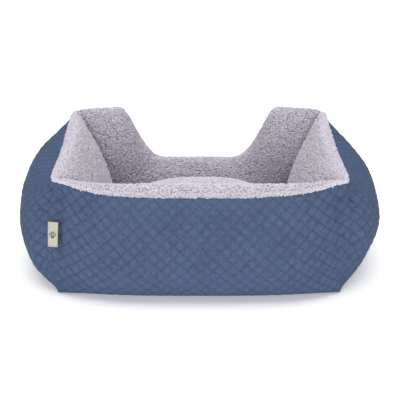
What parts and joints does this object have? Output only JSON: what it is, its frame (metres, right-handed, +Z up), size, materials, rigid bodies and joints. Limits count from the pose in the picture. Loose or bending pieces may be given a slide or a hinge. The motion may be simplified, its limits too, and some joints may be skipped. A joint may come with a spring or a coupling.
{
  "type": "pet cushion bed",
  "caption": "Rectangular bolster pet bed: quilted outside, pile lining, low scooped entry in the rear wall and a loose lift-out cushion.",
  "frame": {"origin": "centre of the bed's underside, on the surface that it stands on", "axes": "+Z up, +X along the bed's length to the right, -Y towards the level front wall, +Y towards the wall with the scoop"},
  "size_m": [0.6978, 0.5182, 0.237],
  "materials": {
    "quilted_cloth": "matt diamond-quilted woven polyester, slate blue",
    "pile_lining": "matt curly sherpa pile, lavender grey",
    "stuffing": "white polyester hollow-fibre stuffing",
    "base_cloth": "dark non-slip base cloth",
    "woven_label": "ivory woven satin label",
    "zip_tape": "grey woven zip tape",
    "zip_coil": "moulded nylon coil",
    "zip_metal": "satin nickel-plated zinc"
  },
  "bodies": {
    "bed": {"base_panel": "base_cloth", "base_pad": "stuffing", "floor_lining": "pile_lining", "corner_label": "woven_label", "front_outer_panel": "quilted_cloth", "front_lining": "pile_lining", "front_fill": "stuffing", "rear_outer_panel": "quilted_cloth", "rear_lining": "pile_lining", "rear_fill": "stuffing", "left_outer_panel": "quilted_cloth", "left_lining": "pile_lining", "left_fill": "stuffing", "right_outer_panel": "quilted_cloth", "right_lining": "pile_lining", "right_fill": "stuffing"},
    "cushion": {"cushion_top_cover": "pile_lining", "cushion_bottom_cover": "pile_lining", "cushion_fill": "stuffing", "zip_tape_upper": "zip_tape", "zip_tape_lower": "zip_tape", "zip_coil": "zip_coil", "zip_stop_left": "zip_metal", "zip_stop_right": "zip_metal"},
    "zip_slider": {"zip_slider": "zip_metal"}
  },
  "joints": [
    {"name": "cushion_lift", "type": "slide", "parent": "bed", "child": "cushion", "axis": [0, 0, 1], "range_m": [0, 0.3]},
    {"name": "zip_slide", "type": "slide", "parent": "cushion", "child": "zip_slider", "axis": [-1, 0, 0], "range_m": [0, 0.197]}
  ]
}
